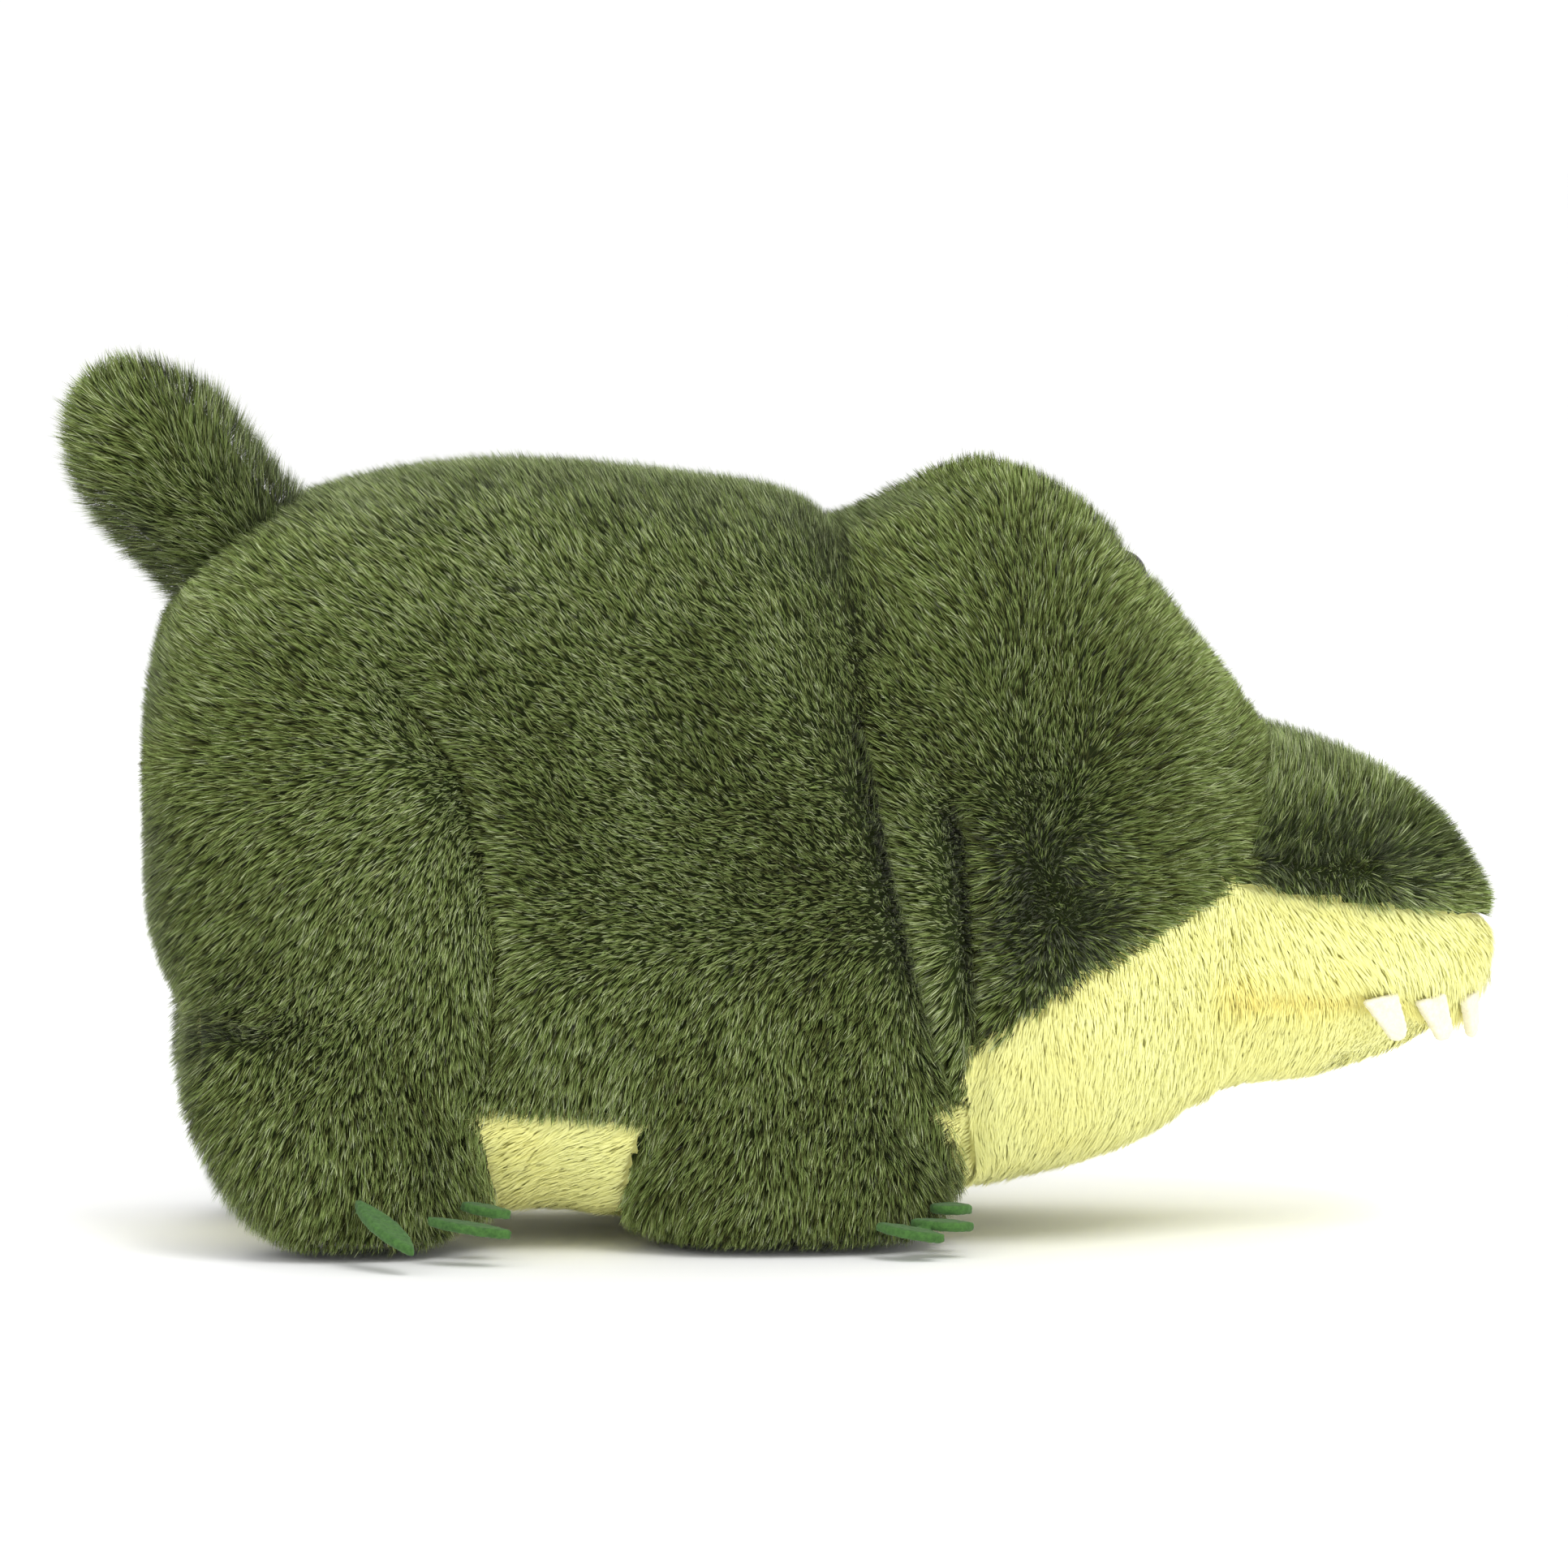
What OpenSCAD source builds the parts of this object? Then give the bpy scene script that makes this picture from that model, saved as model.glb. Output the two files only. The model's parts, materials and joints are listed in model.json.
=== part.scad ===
// Stuffed long-snouted reptile: a sewn plush toy that stands on four short feet.
// +X is forward (the snout), +Y is the toy's left, +Z is up, and the feet stand on Z = 0.

/* [Torso] */
// Distance from the neck hinge back to the rump
torso_len = 177; // [165:1:182]
// Height of the top of the back
back_h = 178; // [172:1:184]
// Width across the flanks
torso_w = 124; // [114:2:132]
// Height of the belly above the floor
belly_h = 7; // [6:1:9]

/* [Legs] */
// Length of a hind leg, front to back
hind_leg_len = 65; // [60:1:70]
// Length of a front leg, front to back
front_leg_len = 68; // [60:1:70]
// Width of a leg, side to side
leg_w = 38; // [32:1:40]
// Length of one felt claw
claw_len = 19; // [14:1:22]

/* [Head] */
// Height of the brow ridges
brow_h = 174; // [168:1:180]
// Width across the cheeks
cheek_w = 130; // [120:2:136]
// Largest nod of the head, up or down, in degrees
nod_deg = 5; // [2:1:6]

/* [Snout] */
// Length of the snout, from its seam to its tip
snout_len = 66; // [54:1:68]
// Width of the snout at its seam
snout_w = 80; // [70:2:84]
// Length of one felt tooth
tooth_len = 11; // [8:1:12]

/* [Tail] */
// Length of the tail from its pivot to its tip
tail_len = 50; // [42:1:56]
// Width of the tail, seen from the side
tail_w = 43; // [38:1:46]
// Thickness of the tail, side to side
tail_t = 36; // [34:1:40]

/* [Cloth] */
// Thickness of the fur fabric with its packed pile
skin = 4.5; // [3:0.5:6]
// Thickness of the felt in the claws and teeth
felt = 1.8; // [1:0.1:2.4]
// Diameter of a plastic eye
eye_d = 11; // [8:1:13]

/* [Hidden] */

// Colours
green_fur = "#64753f";
yellow_fur = "#f2efa0";
claw_felt = "#37702a";
tooth_felt = "#f4f1d9";
fibrefill = "#f3f3ee";
black_plastic = "#15130f";

// Clearances between neighbouring pieces
seam_gap = 0.3;
stuffing_gap = 1.6;               // between a skin and the fibre inside it
seam_bevel = 0.12;                // how far a seam's inner edge stands back, as a part of its depth
core_inset = skin + stuffing_gap;

// Neck: the split between body and head is a pair of flat faces that open from the hinge
hinge = [33, 95];                 // X and Z of the neck hinge
split_top = [9, 178];             // where the split meets the back
split_low = [43, 10];             // where the split meets the throat
neck_gap = 0.25;                  // half the gap at the hinge itself
function split_x(z) = z > hinge[1]
    ? hinge[0] + (split_top[0] - hinge[0]) * (z - hinge[1]) / (split_top[1] - hinge[1])
    : hinge[0] + (split_low[0] - hinge[0]) * (z - hinge[1]) / (split_low[1] - hinge[1]);
function recede(z) = neck_gap + abs(z - hinge[1]) * tan(0.54 * nod_deg);

// Torso
rump_x = hinge[0] - torso_len;
mid_h = 93;
rump_round = 4.0;                 // roundness of the rump above its middle
flank_round = 3.1;                // roundness of the back over the flanks
under_round = 3.1;                // roundness of the belly
plan_round = 4.0;                 // roundness seen from above
back_peak_x = -60;                // where the back is highest
back_fall = 0.125;                // slope of the back from there to the neck
pole = 87;                        // last latitude of a panel, just short of the pole
belly_edge = [[0, 64], [25, 50], [60, 31], [90, 30]];   // height of the belly seam round the torso
gusset_w = [[33, 1], [90, 15], [112, 1]];               // width of the neck gusset by height
torso_cols = 13;
torso_rows = 15;

// Legs: centre of each foot, X and Y
hind_foot = [-106.5, 41];
front_foot = [1, 41];
hind_lean = 9;                    // how far the hind foot tucks forward
front_lean = 0;
leg_cap = 54;                     // highest point of a leg on the flank
leg_round = 2.7;
leg_gap = 1.2;                    // between a leg's top and the torso
sole_t = 2.5;
leg_cols = 26;

// Head: stations along its length, each [part of the length, value]
snout_seam_x = 100;
head_top = [[0, 166], [0.22, brow_h - 2], [0.4, brow_h + 1], [0.55, 167], [0.7, 149.5], [0.85, 132], [1, 115]];
head_low = [[0, 12], [0.3, 15], [0.6, 20], [0.8, 25], [1, 34]];
head_half_w = [[0, 59], [0.25, cheek_w / 2 - 1], [0.42, cheek_w / 2], [0.6, 61], [0.8, 53], [1, 43]];
head_round = 2.9;
head_rows = 12;
brow_y = 34;
brow_rise = 6;
brow_spread = 15;
valley_drop = 9;
valley_spread = 14;
crown_half_w = 16;
cheek_seam = [[0, 45], [1, 84]];  // height of the seam between cheek and throat

// Snout
snout_top_h = [114.5, 100.5];         // height of its top, at the seam and at the tip
snout_low_h = [34, 34.5];         // height of its bottom, at the seam and at the tip
snout_plan_round = 2.6;
snout_side_round = 2.5;
lip_seam = [83, 73];              // height of the seam above the lip, at the seam and at the tip
mouth_h = [58, 54];               // height of the mouth, at the seam and at the tip
chin_tuck = [62, 36, 4.5];        // heights where the chin starts and ends standing back, and how far
tooth_places = [58, 45, 27];      // how far round the snout each tooth hangs
tooth_w = 8.4;
tooth_tip_r = 2.4;
tooth_lean = 3;                   // how far the tip of a tooth stands forward of its root
tooth_slant = 12;                 // slant of the whole tooth beyond that, in degrees
tooth_gap = 0.6;                  // between the jaw and the root of a tooth
tooth_tuck = 6;                   // how far the tip of a tooth tips in under the jaw, in degrees

// Eyes: place on the head and sizes of their parts
eye_part = 0.66;
eye_y = 25;
eye_rise = 3.6;
eye_sink = 2;                     // how far an eye sits down in the fur fabric
shank_d = 3;
shank_len = 9;
washer_d = 12;
washer_t = 1.5;

// Tail: pivot, and the lean of its axis from the vertical
tail_pivot = [-124.5, 159];
tail_lean = -41;
socket_r = 18.5;
ball_r = socket_r - 0.4;
ball_edge = 70;                   // angle from the tail's axis at which it leaves the ball
tail_round = 2.2;
tail_cols = 12;

// ---------------------------------------------------------------- curves
function mix(a, b, t) = a + (b - a) * t;
function bell(v, spread) = exp(-v * v / (spread * spread));
function steps(a, b, n) = [for (i = [0:n]) mix(a, b, i / n)];
// Smooth curve through a table of [position, value] stations, read at t
function tangent(tab, i) = let (a = max(0, i - 1), b = min(len(tab) - 1, i + 1))
    (tab[b][1] - tab[a][1]) / (tab[b][0] - tab[a][0]);
function span_of(tab, t, i = 0) = i >= len(tab) - 2 || t < tab[i + 1][0] ? i : span_of(tab, t, i + 1);
function smooth(tab, t) = let (
        i = span_of(tab, t),
        w = tab[i + 1][0] - tab[i][0],
        k = (t - tab[i][0]) / w,
        kk = k * k * (3 - 2 * k))
    mix(tab[i][1], tab[i + 1][1], kk)
    + w * k * (1 - k) * ((1 - k) * tangent(tab, i) - k * tangent(tab, i + 1));
// Point of a rounded square of half-width 1 at an angle: n = 2 is a circle, more is squarer
function rounded(n, a) = [cos(a), sin(a)] * pow(pow(abs(cos(a)), n) + pow(abs(sin(a)), n), -1 / n);
// The other coordinate of that rounded square, and the angle at which its first is c
function partner(n, c) = pow(max(0, 1 - pow(min(1, abs(c)), n)), 1 / n);
function angle_at(n, c) = atan2(partner(n, c), c);
function level_angle(n, s) = atan2(s, partner(n, s));

// ---------------------------------------------------------------- solids from grids of points
function quad(a, b, c, d) = [[a, b, c], [a, c, d]];
// Closed solid between two matching grids of points; the first is the outer face
module patch_solid(outer, inner) {
    rows = len(outer);
    cols = len(outer[0]);
    r1 = rows - 1;
    c1 = cols - 1;
    function o(r, c) = r * cols + c;
    function i(r, c) = rows * cols + r * cols + c;
    faces = [
        for (r = [0:r1 - 1], c = [0:c1 - 1]) each quad(o(r, c), o(r, c + 1), o(r + 1, c + 1), o(r + 1, c)),
        for (r = [0:r1 - 1], c = [0:c1 - 1]) each quad(i(r, c), i(r + 1, c), i(r + 1, c + 1), i(r, c + 1)),
        for (c = [0:c1 - 1]) each quad(o(0, c + 1), o(0, c), i(0, c), i(0, c + 1)),
        for (c = [0:c1 - 1]) each quad(o(r1, c), o(r1, c + 1), i(r1, c + 1), i(r1, c)),
        for (r = [0:r1 - 1]) each quad(o(r, 0), o(r + 1, 0), i(r + 1, 0), i(r, 0)),
        for (r = [0:r1 - 1]) each quad(o(r + 1, c1), o(r, c1), i(r, c1), i(r + 1, c1))
    ];
    polyhedron([for (row = outer) each row, for (row = inner) each row], faces, convexity = 8);
}
// Closed solid through a stack of closed rings; each ring runs symmetrically from its own start
module ring_solid(rings) {
    n = len(rings[0]);
    last = (len(rings) - 1) * n;
    faces = [
        for (r = [0:len(rings) - 2], c = [0:n - 1]) let (d = (c + 1) % n)
            each quad(r * n + c, r * n + d, (r + 1) * n + d, (r + 1) * n + c),
        for (c = [0:floor(n / 2) - 2]) each quad(n - 1 - c, n - 2 - c, c + 1, c),
        if (n % 2 == 1) [(n + 1) / 2, (n - 1) / 2, (n - 3) / 2],
        for (c = [0:floor(n / 2) - 2]) each quad(last + c, last + c + 1, last + n - 2 - c, last + n - 1 - c),
        if (n % 2 == 1) [last + (n - 3) / 2, last + (n - 1) / 2, last + (n + 1) / 2]
    ];
    polyhedron([for (ring = rings) each ring], faces, convexity = 8);
}
// Closed wall through a loop of closed rings: the last ring joins the first
module wall_solid(rings) {
    n = len(rings[0]);
    m = len(rings);
    faces = [
        for (r = [0:m - 1], c = [0:n - 1]) let (q = (r + 1) % m, d = (c + 1) % n)
            each quad(r * n + c, r * n + d, q * n + d, q * n + c)
    ];
    polyhedron([for (ring = rings) each ring], faces, convexity = 8);
}
// Turns a left-hand piece into the right-hand one
module on_side(side) {
    if (side > 0) children();
    else mirror([0, 1, 0]) children();
}

// ---------------------------------------------------------------- torso
// A point of the torso: turn runs from the rump (0) round to the neck (90), lat from belly to back
function torso_point(turn, lat, inset) = let (
        n = lat < 0 ? under_round : mix(rump_round, flank_round, pow(sin(turn), 2)),
        ring = rounded(n, lat),
        plan = rounded(plan_round, turn) * ring[0],
        rise = lat < 0 ? mid_h - belly_h - inset : back_h - mid_h - inset,
        z0 = mid_h + ring[1] * rise,
        x = mix(split_x(z0) - recede(z0), rump_x + inset, plan[0]),
        fall = lat < 0 ? 0 : back_fall * ring[1] * max(0, x - back_peak_x))
    [x, plan[1] * (torso_w / 2 - inset), z0 - fall];
function torso_lat(z) = level_angle(under_round, (z - mid_h) / (mid_h - belly_h));
function belly_lat(turn) = torso_lat(smooth(belly_edge, abs(turn)));
// Latitude of row k (0 to 1) of a side panel, and its last turn beside the neck gusset
function side_lat(turn, k) = mix(belly_lat(turn) + 0.15, pole, k);
function gusset_turn(k) = let (
        lat = side_lat(90, k),
        z = torso_point(90, lat, 0)[2],
        inside = z > gusset_w[0][0] && z < gusset_w[2][0],
        reach = torso_len * cos(lat))
    inside ? angle_at(plan_round, lookup(z, gusset_w) / reach) : 90;
module torso_side() {
    function grid(inset) = [for (k = steps(0, 1, torso_rows))
        [for (turn = steps(0.2, gusset_turn(k) - (gusset_turn(k) < 90 ? 0.15 : 0), torso_cols))
            torso_point(turn, side_lat(turn, k), inset)]];
    patch_solid(grid(0), grid(skin));
}
module neck_gusset() {
    rows = [for (k = steps(0, 1, torso_rows)) if (gusset_turn(k) < 90) k];
    function grid(inset) = [for (k = rows)
        [for (turn = steps(gusset_turn(k) + 0.15, 90, 2)) torso_point(turn, side_lat(turn, k), inset)]];
    patch_solid(grid(0), grid(skin));
}
module belly_panel() {
    function grid(inset) = [for (k = steps(0, 1, 6))
        [for (turn = steps(-90, 90, 2 * torso_cols))
            torso_point(turn, mix(-pole, belly_lat(turn) - 0.15, k), inset)]];
    color(yellow_fur) patch_solid(grid(0), grid(skin));
}
module tail_socket() {
    translate([tail_pivot[0], 0, tail_pivot[1]]) sphere(socket_r, $fn = 64);
}
module body_side(side) {
    color(green_fur) on_side(side) difference() {
        torso_side();
        tail_socket();
    }
}
module body_stuffing() {
    color(fibrefill) difference() {
        ring_solid([for (lat = steps(-pole, pole, 18))
            [for (turn = steps(-90, 90, 2 * torso_cols)) torso_point(turn, lat, core_inset)]]);
        tail_socket();
    }
}

// ---------------------------------------------------------------- legs
// Height of the torso's underside over a point of the floor
function torso_under(x, y) = let (
        c = (split_x(belly_h) - x) / (split_x(belly_h) - rump_x),
        s = abs(y) / (torso_w / 2),
        reach = pow(pow(abs(c), plan_round) + pow(s, plan_round), 1 / plan_round))
    mid_h - (mid_h - belly_h) * partner(under_round, reach);
// A point of a leg: a goes round it, up is 0 at the sole and 1 under the torso
function leg_point(foot, length, lean, a, up, inset, shrink = 1) = let (
        tuck = pow(1 - up, 2.5),
        oval = rounded(leg_round, a) * shrink,
        x = foot[0] + lean * tuck + oval[0] * (length / 2 - inset - (4 + abs(lean)) * tuck),
        y = foot[1] + oval[1] * (leg_w / 2 - inset - 3 * tuck),
        top = min(leg_cap, torso_under(x, y)) - leg_gap - inset / 2)
    [x, y, mix(sole_t + seam_gap, top, up)];
leg_levels = [0, 0.25, 0.6, 1];
function leg_ring(foot, length, lean, up, inset, shrink = 1) =
    [for (i = [0:leg_cols - 1]) leg_point(foot, length, lean, (i + 0.5) * 360 / leg_cols, up, inset, shrink)];
module leg_skin(foot, length, lean) {
    color(green_fur) wall_solid(concat(
        [for (up = leg_levels) leg_ring(foot, length, lean, up, 0)],
        [for (i = [0:3]) leg_ring(foot, length, lean, leg_levels[3 - i], skin)]));
}
module leg_stuffing(foot, length, lean) {
    color(fibrefill) ring_solid(concat(
        [for (up = leg_levels) leg_ring(foot, length, lean, up, core_inset)],
        [for (shrink = [0.6, 0.2]) leg_ring(foot, length, lean, 1, core_inset, shrink)]));
}
module sole(foot, length, lean) {
    color(green_fur) linear_extrude(sole_t)
        polygon([for (p = leg_ring(foot, length, lean, 0, 0.5)) [p[0], p[1]]]);
}
// A felt leaf with two curved edges and a pointed tip, along +X from its root
module leaf(length, width) {
    bow = (length * length + width * width) / (4 * width);
    translate([0, 0, -felt / 2]) linear_extrude(felt) intersection() {
        translate([length / 2, bow - width / 2]) circle(bow, $fn = 96);
        translate([length / 2, width / 2 - bow]) circle(bow, $fn = 96);
    }
}
// Claws: each is [root X, Y, Z, heading outwards, dip, length]
hind_claws = [[-100, 61, 14.5, 57, 23, 1.25], [-84, 60.5, 10, 22, 7, 1.05], [-76, 54, 12.5, 12, 10, 0.6]];
front_claws = [[17, 61, 7.6, 24, 8, 0.85], [25, 59, 8, 12, 3, 0.75], [30, 53.5, 10.5, 6, 1, 0.5]];
module claws(places) {
    color(claw_felt) for (c = places)
        translate([c[0], c[1], c[2]]) rotate([0, c[4], c[3]]) leaf(claw_len * c[5], 6.5);
}

// ---------------------------------------------------------------- head
function seam_x(z) = snout_seam_x + 0.36 * min(34, max(0, z - 82));
// A point of the head: part runs from the neck (0) to the snout (1), a goes round from the left
function head_point(part, a, inset) = let (
        top = smooth(head_top, part),
        low = smooth(head_low, part),
        ring = rounded(head_round, a),
        y = ring[0] * (smooth(head_half_w, part) - inset),
        ridge = bell(part - 0.42, 0.3) * max(0, ring[1]),
        brow = brow_rise * bell(abs(y) - brow_y, brow_spread) - valley_drop * bell(y, valley_spread),
        z = (top + low) / 2 + ring[1] * ((top - low) / 2 - inset) + ridge * brow)
    [mix(split_x(z) + recede(z), seam_x(z) - seam_gap / 2 - inset * seam_bevel, part), y, z];
function crown_angle(part) = angle_at(head_round, crown_half_w / smooth(head_half_w, part));
function throat_angle(part) = let (top = smooth(head_top, part), low = smooth(head_low, part))
    level_angle(head_round, (smooth(cheek_seam, part) - (top + low) / 2) / ((top - low) / 2));
// Panel of the head between two angles that each depend on the part of its length
module head_patch(from, to, cols) {
    function grid(inset) = [for (part = steps(0, 1, head_rows))
        [for (k = steps(0, 1, cols)) head_point(part, mix(from(part), to(part), k), inset)]];
    patch_solid(grid(0), grid(skin));
}
module head_side(side) {
    color(green_fur) on_side(side)
        head_patch(function (p) throat_angle(p) + 0.2, function (p) crown_angle(p) - 0.25, 9);
}
module crown_gusset() {
    color(green_fur) head_patch(function (p) crown_angle(p) + 0.25, function (p) 179.75 - crown_angle(p), 6);
}
module throat_panel() {
    color(yellow_fur) head_patch(function (p) -180.2 - throat_angle(p), function (p) throat_angle(p) - 0.2, 16);
}
module head_stuffing() {
    color(fibrefill) ring_solid([for (part = steps(0, 1, head_rows))
        [for (i = [0:31]) head_point(part, 90 + (i + 0.5) * 360 / 32, core_inset)]]);
}

// ---------------------------------------------------------------- snout
// A point of the snout: turn runs from its tip (0) round to the seam (90), lat from chin to top
function snout_frame(turn, lat) = let (
        ring = rounded(snout_side_round, lat),
        plan = rounded(snout_plan_round, turn) * ring[0],
        top = mix(snout_top_h[0], snout_top_h[1], plan[0]),
        low = mix(snout_low_h[0], snout_low_h[1], plan[0]))
    [plan[0], plan[1], ring[1], (top + low) / 2, (top - low) / 2];
function snout_point(turn, lat, inset) = let (
        f = snout_frame(turn, lat),
        z = f[3] + f[2] * (f[4] - inset),
        tuck = max(0, (chin_tuck[0] - z) / (chin_tuck[0] - chin_tuck[1])) * chin_tuck[2],
        tip = snout_seam_x + snout_len - inset - tuck)
    [mix(seam_x(z) + seam_gap / 2 + inset * seam_bevel, tip, f[0]), f[1] * (snout_w / 2 - inset), z];
// Latitude of a seam whose height goes from ends[0] at the rear to ends[1] at the tip
function snout_lat(ends, turn) = let (
        along = rounded(snout_plan_round, turn)[0],
        f = snout_frame(turn, 0),
        h = mix(ends[0], ends[1], along))
    level_angle(snout_side_round, (h - f[3]) / f[4]);
module snout_patch(from, to, rows) {
    function grid(inset) = [for (k = steps(0, 1, rows))
        [for (turn = steps(90, -90, 20)) snout_point(turn, mix(from(turn), to(turn), k), inset)]];
    patch_solid(grid(0), grid(skin));
}
module snout_top() {
    color(green_fur) snout_patch(function (t) snout_lat(lip_seam, t) + 0.3, function (t) pole, 6);
}
module upper_lip() {
    color(yellow_fur) snout_patch(function (t) snout_lat(mouth_h, t) + 0.3,
        function (t) snout_lat(lip_seam, t) - 0.3, 3);
}
module lower_jaw() {
    color(yellow_fur) snout_patch(function (t) -pole, function (t) snout_lat(mouth_h, t) - 0.3, 5);
}
module snout_stuffing() {
    color(fibrefill) ring_solid([for (lat = steps(-pole, pole, 14))
        [for (turn = steps(90, -90, 20)) snout_point(turn, lat, core_inset)]]);
}
// Teeth hang side by side just below the lip, each flat against the jaw
module tooth() {
    rotate([90, 0, 0]) translate([0, 0, -felt / 2]) linear_extrude(felt)
        polygon(concat([[-tooth_w / 2, 0]],
            [for (a = [190:20:350]) [tooth_lean, tooth_tip_r - tooth_len] + tooth_tip_r * [cos(a), sin(a)]],
            [[tooth_w / 2, 0]]));
}
module teeth(side) {
    color(tooth_felt) on_side(side) for (turn = tooth_places) {
        lat = snout_lat(mouth_h, turn) - 0.5;
        p = snout_point(turn, lat, 0);
        q = snout_point(turn + 1, lat, 0);
        heading = atan2(q[1] - p[1], q[0] - p[0]);
        translate(p) rotate([0, 0, heading + 180]) translate([0, felt / 2 + tooth_gap, 0])
            rotate([-tooth_tuck, -tooth_slant, 0]) tooth();
    }
}

// ---------------------------------------------------------------- eyes
module at_eye(side) {
    a = angle_at(head_round, eye_y / smooth(head_half_w, eye_part));
    p = head_point(eye_part, a, 0);
    along = head_point(eye_part + 0.02, a, 0) - p;
    around = head_point(eye_part, a + 1, 0) - p;
    normal = cross(along, around) / -norm(cross(along, around));
    on_side(side) translate(p) rotate([0, acos(normal[2]), atan2(normal[1], normal[0])])
        translate([0, 0, -eye_sink]) children();
}
module eye(side) {
    dome = (eye_d * eye_d / 4 + eye_rise * eye_rise) / (2 * eye_rise);
    color(black_plastic) at_eye(side) rotate_extrude($fn = 48) union() {
        intersection() {
            translate([0, eye_rise - dome]) circle(dome, $fn = 96);
            square([eye_d, eye_rise]);
        }
        translate([0, -shank_len]) square([shank_d / 2, shank_len + 1]);
    }
}
module eye_washer(side) {
    color(fibrefill) at_eye(side) translate([0, 0, eye_sink - skin - seam_gap - washer_t]) difference() {
        cylinder(washer_t, d = washer_d, $fn = 48);
        translate([0, 0, -1]) cylinder(washer_t + 2, d = shank_d + 0.3, $fn = 48);
    }
}

// ---------------------------------------------------------------- tail
// Stations of the tail: [distance from the pivot along its axis, size compared with its base]
function tail_stations(inset) = let (
        r = ball_r - inset,
        edge = [r * cos(ball_edge), r * sin(ball_edge)],
        reach = tail_len - inset - edge[0])
    concat(
        [for (a = steps(172, ball_edge, 7)) [r * cos(a), r * sin(a), 0]],
        [for (k = [15:15:75]) let (p = rounded(tail_round, k)) [edge[0] + reach * p[1], edge[1], k]],
        [[edge[0] + reach * rounded(tail_round, 84)[1], edge[1], 84]]);
function tail_point(station, a, inset) = let (
        k = station[2],
        taper = rounded(tail_round, k)[0],
        wide = mix(station[1], tail_w / 2 - inset, min(1, k / 30)),
        thick = mix(station[1], tail_t / 2 - inset, min(1, k / 30)))
    [sin(a) * wide * taper, cos(a) * thick * taper, station[0]];
module on_tail() {
    translate([tail_pivot[0], 0, tail_pivot[1]]) rotate([0, tail_lean, 0]) children();
}
module tail_side(side) {
    function grid(inset) = [for (s = tail_stations(inset))
        [for (a = steps(89.2, -89.2, tail_cols)) tail_point(s, a, inset)]];
    color(green_fur) on_side(side) on_tail() patch_solid(grid(0), grid(skin));
}
module tail_stuffing() {
    color(fibrefill) on_tail() ring_solid([for (s = tail_stations(core_inset))
        [for (i = [0:23]) tail_point(s, -(i + 0.5) * 15, core_inset)]]);
}

body_side(1);  // body_side_left
body_side(-1);  // body_side_right
belly_panel();
body_stuffing();
color(green_fur) on_side(1) neck_gusset();  // neck_gusset_left
color(green_fur) on_side(-1) neck_gusset();  // neck_gusset_right
on_side(1) leg_skin(hind_foot, hind_leg_len, hind_lean);  // hind_leg_left
on_side(-1) leg_skin(hind_foot, hind_leg_len, hind_lean);  // hind_leg_right
on_side(1) leg_skin(front_foot, front_leg_len, front_lean);  // front_leg_left
on_side(-1) leg_skin(front_foot, front_leg_len, front_lean);  // front_leg_right
on_side(1) leg_stuffing(hind_foot, hind_leg_len, hind_lean);  // hind_leg_stuffing_left
on_side(-1) leg_stuffing(hind_foot, hind_leg_len, hind_lean);  // hind_leg_stuffing_right
on_side(1) leg_stuffing(front_foot, front_leg_len, front_lean);  // front_leg_stuffing_left
on_side(-1) leg_stuffing(front_foot, front_leg_len, front_lean);  // front_leg_stuffing_right
on_side(1) sole(hind_foot, hind_leg_len, hind_lean);  // hind_sole_left
on_side(-1) sole(hind_foot, hind_leg_len, hind_lean);  // hind_sole_right
on_side(1) sole(front_foot, front_leg_len, front_lean);  // front_sole_left
on_side(-1) sole(front_foot, front_leg_len, front_lean);  // front_sole_right
on_side(1) claws(hind_claws);  // hind_claws_left
on_side(-1) claws(hind_claws);  // hind_claws_right
on_side(1) claws(front_claws);  // front_claws_left
on_side(-1) claws(front_claws);  // front_claws_right
head_side(1);  // head_side_left
head_side(-1);  // head_side_right
crown_gusset();
throat_panel();
head_stuffing();
snout_top();
upper_lip();
lower_jaw();
snout_stuffing();
teeth(1);  // teeth_left
teeth(-1);  // teeth_right
eye(1);  // eye_left
eye(-1);  // eye_right
eye_washer(1);  // eye_washer_left
eye_washer(-1);  // eye_washer_right
tail_side(1);  // tail_side_left
tail_side(-1);  // tail_side_right
tail_stuffing();
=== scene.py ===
"""Looks of the stuffed reptile: padded forms with fur grown on them, felt claws and teeth, plastic eyes."""
import json
import math

import bmesh
import bpy
import numpy as np
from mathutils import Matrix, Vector
from mathutils.bvhtree import BVHTree
from mathutils.kdtree import KDTree

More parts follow.
